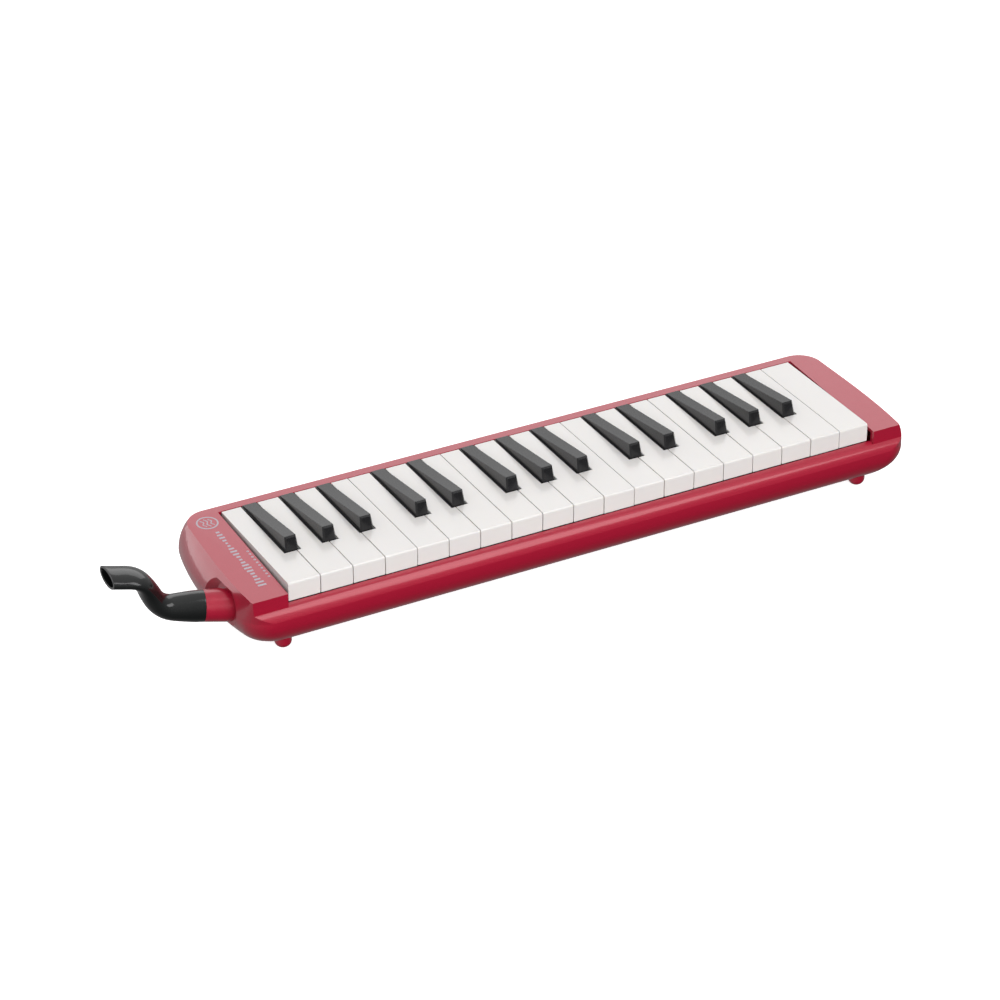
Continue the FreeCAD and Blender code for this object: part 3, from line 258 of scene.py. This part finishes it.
def new_piece(name, mesh, material, body):
    """A piece in the scene that rides on a body and wears the material it is given."""
    piece = bpy.data.objects.new(name, mesh)
    bpy.context.scene.collection.objects.link(piece)
    mesh.materials.clear()
    mesh.materials.append(material)
    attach(piece, body)
    return piece


MOULDED_SHARP_ANGLE = 50
WELD_DISTANCE = 0.002 * MM
FLAT_ANGLE = math.radians(0.4)
EDGE_ANGLE = math.radians(28)
EDGE_SEGMENTS = 2


def mesh_from(name, edit, sharp_angle=40):
    """Turn an edit mesh into a smooth-shaded mesh that stays sharp at its hard edges."""
    bmesh.ops.recalc_face_normals(edit, faces=edit.faces)
    mesh = bpy.data.meshes.new(name)
    edit.to_mesh(mesh)
    edit.free()
    for polygon in mesh.polygons:
        polygon.use_smooth = True
    mesh.set_sharp_from_angle(angle=math.radians(sharp_angle))
    return mesh


def softened(node, width):
    """A moulded version of a CAD node: flat faces joined up, and every sharp edge rounded."""
    edit = bmesh.new()
    edit.from_mesh(frame["nodes"][node].data)
    bmesh.ops.remove_doubles(edit, verts=edit.verts, dist=WELD_DISTANCE)
    bmesh.ops.dissolve_limit(edit, angle_limit=FLAT_ANGLE, verts=edit.verts, edges=edit.edges)
    sharp = [edge for edge in edit.edges
             if len(edge.link_faces) == 2 and edge.calc_face_angle(0) > EDGE_ANGLE]
    bmesh.ops.bevel(edit, geom=sharp, offset=width, segments=EDGE_SEGMENTS, profile=0.5, affect="EDGES",
                    clamp_overlap=True)
    slot = SLOT_OF[node]
    name = f"{node}_moulded"
    piece = new_piece(name, mesh_from(name, edit, MOULDED_SHARP_ANGLE), MATERIALS[slot], BODY_OF[node])
    weighted = piece.modifiers.new("even_normals", "WEIGHTED_NORMAL")
    weighted.keep_sharp = True
    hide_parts(node)
    return piece


# ---------------------------------------------------------------- keys, shells and mouldings

# how far each node's sharp edges are rounded
EDGE_WIDTHS = {
    "upper_case": 0.45 * MM,
    "lower_case": 0.40 * MM,
    "blow_socket": 0.30 * MM,
    "mouthpiece": 0.35 * MM,
    "feet": 0.25 * MM,
    "spit_valve_button": 0.25 * MM,
    "strap_anchors": 0.30 * MM,
}
EDGE_WIDTHS.update({key: 0.28 * MM for key in WHITE_KEYS})
EDGE_WIDTHS.update({key: 0.30 * MM for key in BLACK_KEYS})

MOULDED = {node: softened(node, width) for node, width in EDGE_WIDTHS.items()}

# the felt pad of each key lies between the reed block's back and the key's arm
BLOCK_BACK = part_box("reed_block")[1][1]
PAD_FRONT = BLOCK_BACK - 0.1 * MM
PAD_BACK = BLOCK_BACK + 1.65 * MM
PAD_TOP = 30 * MM


def felt_the_pad(piece):
    """Give a key's pad its felt."""
    piece.data.materials.append(MATERIALS["felt"])
    for polygon in piece.data.polygons:
        if PAD_FRONT < polygon.center.y < PAD_BACK and polygon.center.z < PAD_TOP:
            polygon.material_index = 1


for key in WHITE_KEYS + BLACK_KEYS:
    felt_the_pad(MOULDED[key])


def keep_cad_shape(node):
    """Show a CAD node as it is, with its slot's finished material."""
    materials = frame["nodes"][node].data.materials
    materials.clear()
    materials.append(MATERIALS[SLOT_OF[node]])


for carried in BODY_OF:
    if carried not in MOULDED and carried != "hand_strap":
        keep_cad_shape(carried)

# ---------------------------------------------------------------- hand strap

STRAP_EDGE = 0.5 * MM
STRAP_CLEARANCE = 0.05 * MM
STITCH_END_MARGIN = 16 * MM
STITCH_INSET = 2.4 * MM
STITCH_PITCH = 3.2 * MM
STITCH_LENGTH = 2.3 * MM
STITCH_RADIUS = 0.22 * MM
STITCH_SIDES = 6
# share of the stitch's length from its middle, and share of its radius there
STITCH_PROFILE = ((-0.5, 0.35), (-0.3, 1.0), (0.3, 1.0), (0.5, 0.35))


def strap_band():
    """The flat leatherette band, a rounded slab that lies against the case's floor."""
    low, high = (Vector(corner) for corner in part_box("hand_strap"))
    low.z += STRAP_CLEARANCE
    high.z -= STRAP_CLEARANCE
    edit = bmesh.new()
    bmesh.ops.create_cube(edit, size=1.0)
    for vertex in edit.verts:
        vertex.co = Vector([middle + part * span for middle, part, span
                            in zip((low + high) / 2, vertex.co, high - low)])
    bmesh.ops.bevel(edit, geom=list(edit.edges), offset=STRAP_EDGE, segments=3, profile=0.5, affect="EDGES")
    mesh = mesh_from("hand_strap_band", edit)
    band = new_piece("hand_strap_band", mesh, MATERIALS["strap"], "case")
    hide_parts("hand_strap")
    return band, low, high


def add_stitch(edit, centre):
    """One short raised thread along X: a hexagonal rod that narrows to its ends."""
    rings = []
    for along, swell in STITCH_PROFILE:
        ring = []
        for step in range(STITCH_SIDES):
            turn = math.tau * step / STITCH_SIDES
            offset = Vector((along * STITCH_LENGTH, math.cos(turn) * STITCH_RADIUS * swell,
                             math.sin(turn) * STITCH_RADIUS * swell))
            ring.append(edit.verts.new(centre + offset))
        rings.append(ring)
    for first, second in zip(rings, rings[1:]):
        for step in range(STITCH_SIDES):
            after = (step + 1) % STITCH_SIDES
            edit.faces.new((first[step], first[after], second[after], second[step]))
    edit.faces.new(rings[0])
    edit.faces.new(rings[-1])


def strap_stitching(low, high):
    """A row of stitches along each long edge of the strap's lower face."""
    edit = bmesh.new()
    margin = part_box("strap_anchors")[1][0] - high.x + STITCH_END_MARGIN
    count = int((high.x - low.x - 2 * margin) / STITCH_PITCH)
    for edge_y in (low.y + STITCH_INSET, high.y - STITCH_INSET):
        for index in range(count + 1):
            x = (index - count / 2) * STITCH_PITCH
            add_stitch(edit, Vector((x, edge_y, low.z)))
    mesh = mesh_from("hand_strap_stitches", edit)
    return new_piece("hand_strap_stitches", mesh, stitch_thread(), "case")


strap, strap_low, strap_high = strap_band()
stitches = strap_stitching(strap_low, strap_high)

# ---------------------------------------------------------------- plain print on the left panel

PRINT_DEPTH = 0.04 * MM
PRINT_HEIGHT = 0.05 * MM
ABOVE_ALL = 100 * MM
SAME_POINT = 1e-9
EMBLEM_CENTRE = Vector((-201.7, 35.5)) * MM
EMBLEM_RADIUS = 6.4 * MM
EMBLEM_LINE = 0.9 * MM
EMBLEM_STEPS = 48
WAVE_LINE = 0.7 * MM
WAVE_SPACING = 2.4 * MM
WAVE_SWING = 0.6 * MM
WAVE_END_GAP = 0.5 * MM
BAR_COLUMN_X = -200.6 * MM
BAR_WIDTH = 1.5 * MM
BAR_PITCH = 3.1 * MM
BAR_COUNT = 20
BAR_START_Y = 24.0 * MM
BAR_HALF_LENGTH = 1.1 * MM
BAR_GROWTH = 0.9 * MM
BAR_SWELL = 0.6 * MM
BAR_BEAT = 1.1
DOT_COLUMN_X = -193.6 * MM
DOT_RADIUS = 0.75 * MM
DOT_HOLE_RADIUS = DOT_RADIUS * 0.3
DOT_STEPS = 16
DOT_PITCH = 3.1 * MM
DOT_COUNT = 10
DOT_START_Y = -1.0 * MM


def panel_surface():
    """The upper case's surface, to find the panel's height on."""
    source = frame["nodes"]["upper_case"].data
    return BVHTree.FromPolygons([vertex.co for vertex in source.vertices],
                                [list(polygon.vertices) for polygon in source.polygons])


def height_at(surface, point):
    """The panel's height under a point of the plan."""
    hit = surface.ray_cast(Vector((point.x, point.y, ABOVE_ALL)), Vector((0, 0, -1)))
    return hit[0].z


def add_patch(edit, surface, outlines):
    """A thin closed film of ink on the panel; outlines is a strip's two sides, point for point."""
    first, second = outlines
    layers = []
    for lift in (-PRINT_DEPTH, PRINT_HEIGHT):
        layers.append([[edit.verts.new((p.x, p.y, height_at(surface, p) + lift)) for p in side]
                       for side in (first, second)])
    bottom, top = layers
    closed = (first[0] - first[-1]).length < SAME_POINT
    if closed:
        bmesh.ops.weld_verts(edit, targetmap={side[-1]: side[0] for layer in layers for side in layer})
        bottom, top = ([side[:-1] + side[:1] for side in layer] for layer in layers)
    for step in range(len(first) - 1):
        here, there = step, step + 1
        edit.faces.new((top[0][here], top[0][there], top[1][there], top[1][here]))
        edit.faces.new((bottom[0][here], bottom[1][here], bottom[1][there], bottom[0][there]))
        edit.faces.new((bottom[0][here], bottom[0][there], top[0][there], top[0][here]))
        edit.faces.new((bottom[1][here], top[1][here], top[1][there], bottom[1][there]))
    if not closed:
        for end in (0, -1):
            edit.faces.new((bottom[0][end], top[0][end], top[1][end], bottom[1][end]))


def ring_outlines(centre, outer, inner, steps):
    """The two circles of a ring; the last point of each is its first."""
    turns = [math.tau * step / steps for step in range(steps + 1)]
    turns[-1] = 0.0
    return [[centre + Vector((math.cos(turn), math.sin(turn))) * radius for turn in turns]
            for radius in (outer, inner)]


def wave_outlines(centre, half_length, swing, width, steps=24):
    """A strip along one and a half waves, its ends inside the ring."""
    sides = []
    for side in (-0.5, 0.5):
        points = []
        for step in range(steps + 1):
            along = step / steps * 2 - 1
            points.append(centre + Vector((math.sin(along * math.pi * 1.5) * swing + side * width,
                                           along * half_length)))
        sides.append(points)
    return sides


def bar_outlines(centre, half_length, half_width):
    """A bar's two short ends."""
    return [[centre + Vector((x, -half_width)), centre + Vector((x, half_width))]
            for x in (-half_length, half_length)]


def panel_print():
    """A ring with three waves, a column of bars and a row of dots: no sign or letter."""
    surface = panel_surface()
    edit = bmesh.new()
    inner_radius = EMBLEM_RADIUS - EMBLEM_LINE
    add_patch(edit, surface, ring_outlines(EMBLEM_CENTRE, EMBLEM_RADIUS, inner_radius, EMBLEM_STEPS))
    for shift in (-WAVE_SPACING, 0, WAVE_SPACING):
        reach = math.sqrt((EMBLEM_RADIUS - 2 * EMBLEM_LINE) ** 2 - shift ** 2) - WAVE_END_GAP
        middle = EMBLEM_CENTRE + Vector((shift, 0))
        add_patch(edit, surface, wave_outlines(middle, reach, WAVE_SWING, WAVE_LINE))
    for index in range(BAR_COUNT):
        growth = BAR_GROWTH * index / BAR_COUNT
        half_length = BAR_HALF_LENGTH + growth + BAR_SWELL * math.sin(index * BAR_BEAT)
        centre = Vector((BAR_COLUMN_X, BAR_START_Y - index * BAR_PITCH))
        add_patch(edit, surface, bar_outlines(centre, half_length, BAR_WIDTH / 2))
    for index in range(DOT_COUNT):
        centre = Vector((DOT_COLUMN_X, DOT_START_Y - index * DOT_PITCH))
        add_patch(edit, surface, ring_outlines(centre, DOT_RADIUS, DOT_HOLE_RADIUS, DOT_STEPS))
    new_piece("panel_print", mesh_from("panel_print", edit), silver_ink(), "case")


panel_print()

# ---------------------------------------------------------------- floor, light and camera


FLOOR_GLOW = 0.8
FLOOR_REACH = 4.0


def stage_floor():
    """A plain near-white floor with a glow of its own, which doesn't bounce light onto the object."""
    mesh = bpy.data.meshes.new("floor")
    reach = FLOOR_REACH
    corners = [(-reach, -reach, 0), (reach, -reach, 0), (reach, reach, 0), (-reach, reach, 0)]
    mesh.from_pydata(corners, [], [(0, 1, 2, 3)])
    floor = bpy.data.objects.new("floor", mesh)
    bpy.context.scene.collection.objects.link(floor)
    paint = Paint("floor_paint", (0.93, 0.93, 0.935), 0.85)
    paint.set_input("Emission Color", (1.0, 1.0, 1.0, 1.0))
    paint.set_input("Emission Strength", FLOOR_GLOW)
    paint.vary_color(3, 0.004)
    mesh.materials.append(paint.material)
    floor.visible_glossy = False
    floor.visible_diffuse = False


def area_light(name, place, target, size, power, glossy=True):
    """A soft rectangular light at place, turned to target."""
    light = bpy.data.lights.new(name, "AREA")
    light.shape = "RECTANGLE"
    light.size, light.size_y = size
    light.energy = power
    item = bpy.data.objects.new(name, light)
    item.location = place
    item.rotation_euler = (Vector(target) - Vector(place)).to_track_quat("-Z", "Y").to_euler()
    item.visible_glossy = glossy
    bpy.context.scene.collection.objects.link(item)


def graded_world(toward, darkest, brightest):
    """A white world, brightest in the direction toward and darkest away from it."""
    world = bpy.data.worlds.new("studio")
    bpy.context.scene.world = world
    world.use_nodes = True
    tree = world.node_tree
    direction = tree.nodes.new("ShaderNodeTexCoord").outputs["Generated"]
    facing = tree.nodes.new("ShaderNodeVectorMath")
    facing.operation = "DOT_PRODUCT"
    facing.inputs[1].default_value = Vector(toward).normalized()
    tree.links.new(direction, facing.inputs[0])
    fade = tree.nodes.new("ShaderNodeMapRange")
    fade.inputs["From Min"].default_value = -1.0
    fade.inputs["To Min"].default_value = darkest
    fade.inputs["To Max"].default_value = brightest
    tree.links.new(facing.outputs["Value"], fade.inputs["Value"])
    background = tree.nodes["Background"]
    background.inputs["Color"].default_value = (1.0, 1.0, 1.0, 1.0)
    tree.links.new(fade.outputs["Result"], background.inputs["Strength"])


def studio():
    """Cards behind and at the left, a panel for the front band, and a fill that gives no gloss."""
    graded_world((-0.35, 0.55, 0.76), 0.03, 0.72)
    area_light("back_card", (0.7, 1.6, 1.1), (0, 0, 0), (2.6, 1.1), 9.0)
    area_light("left_card", (-1.3, 1.4, 0.05), (-0.2, 0, 0.03), (1.4, 1.0), 6.0)
    area_light("band_strip", (0.50, -0.80, 1.17), (-0.03, -0.05, 0.03), (0.6, 1.0), 4.7)
    area_light("front_fill", (-0.3, -1.5, 0.5), (0, 0, 0.03), (1.5, 1.0), 20.0, glossy=False)


def photo_camera():
    """The photograph's view: from the player's left, well above, through a long lens."""
    azimuth = math.radians(28.37)
    elevation = math.radians(30.3)
    distance = 2.012
    target = Vector((-0.0444, -0.0208, 0.045))
    toward = Vector((math.sin(azimuth) * math.cos(elevation), math.cos(azimuth) * math.cos(elevation),
                     -math.sin(elevation)))
    camera = bpy.data.cameras.new("photo_camera")
    camera.lens = 127.0
    camera.sensor_width = 36.0
    camera.clip_end = 50
    item = bpy.data.objects.new("photo_camera", camera)
    item.location = target - toward * distance
    item.rotation_euler = toward.to_track_quat("-Z", "Y").to_euler()
    bpy.context.scene.collection.objects.link(item)
    bpy.context.scene.camera = item


stage_floor()
studio()
photo_camera()
bpy.context.scene.view_settings.view_transform = "Standard"
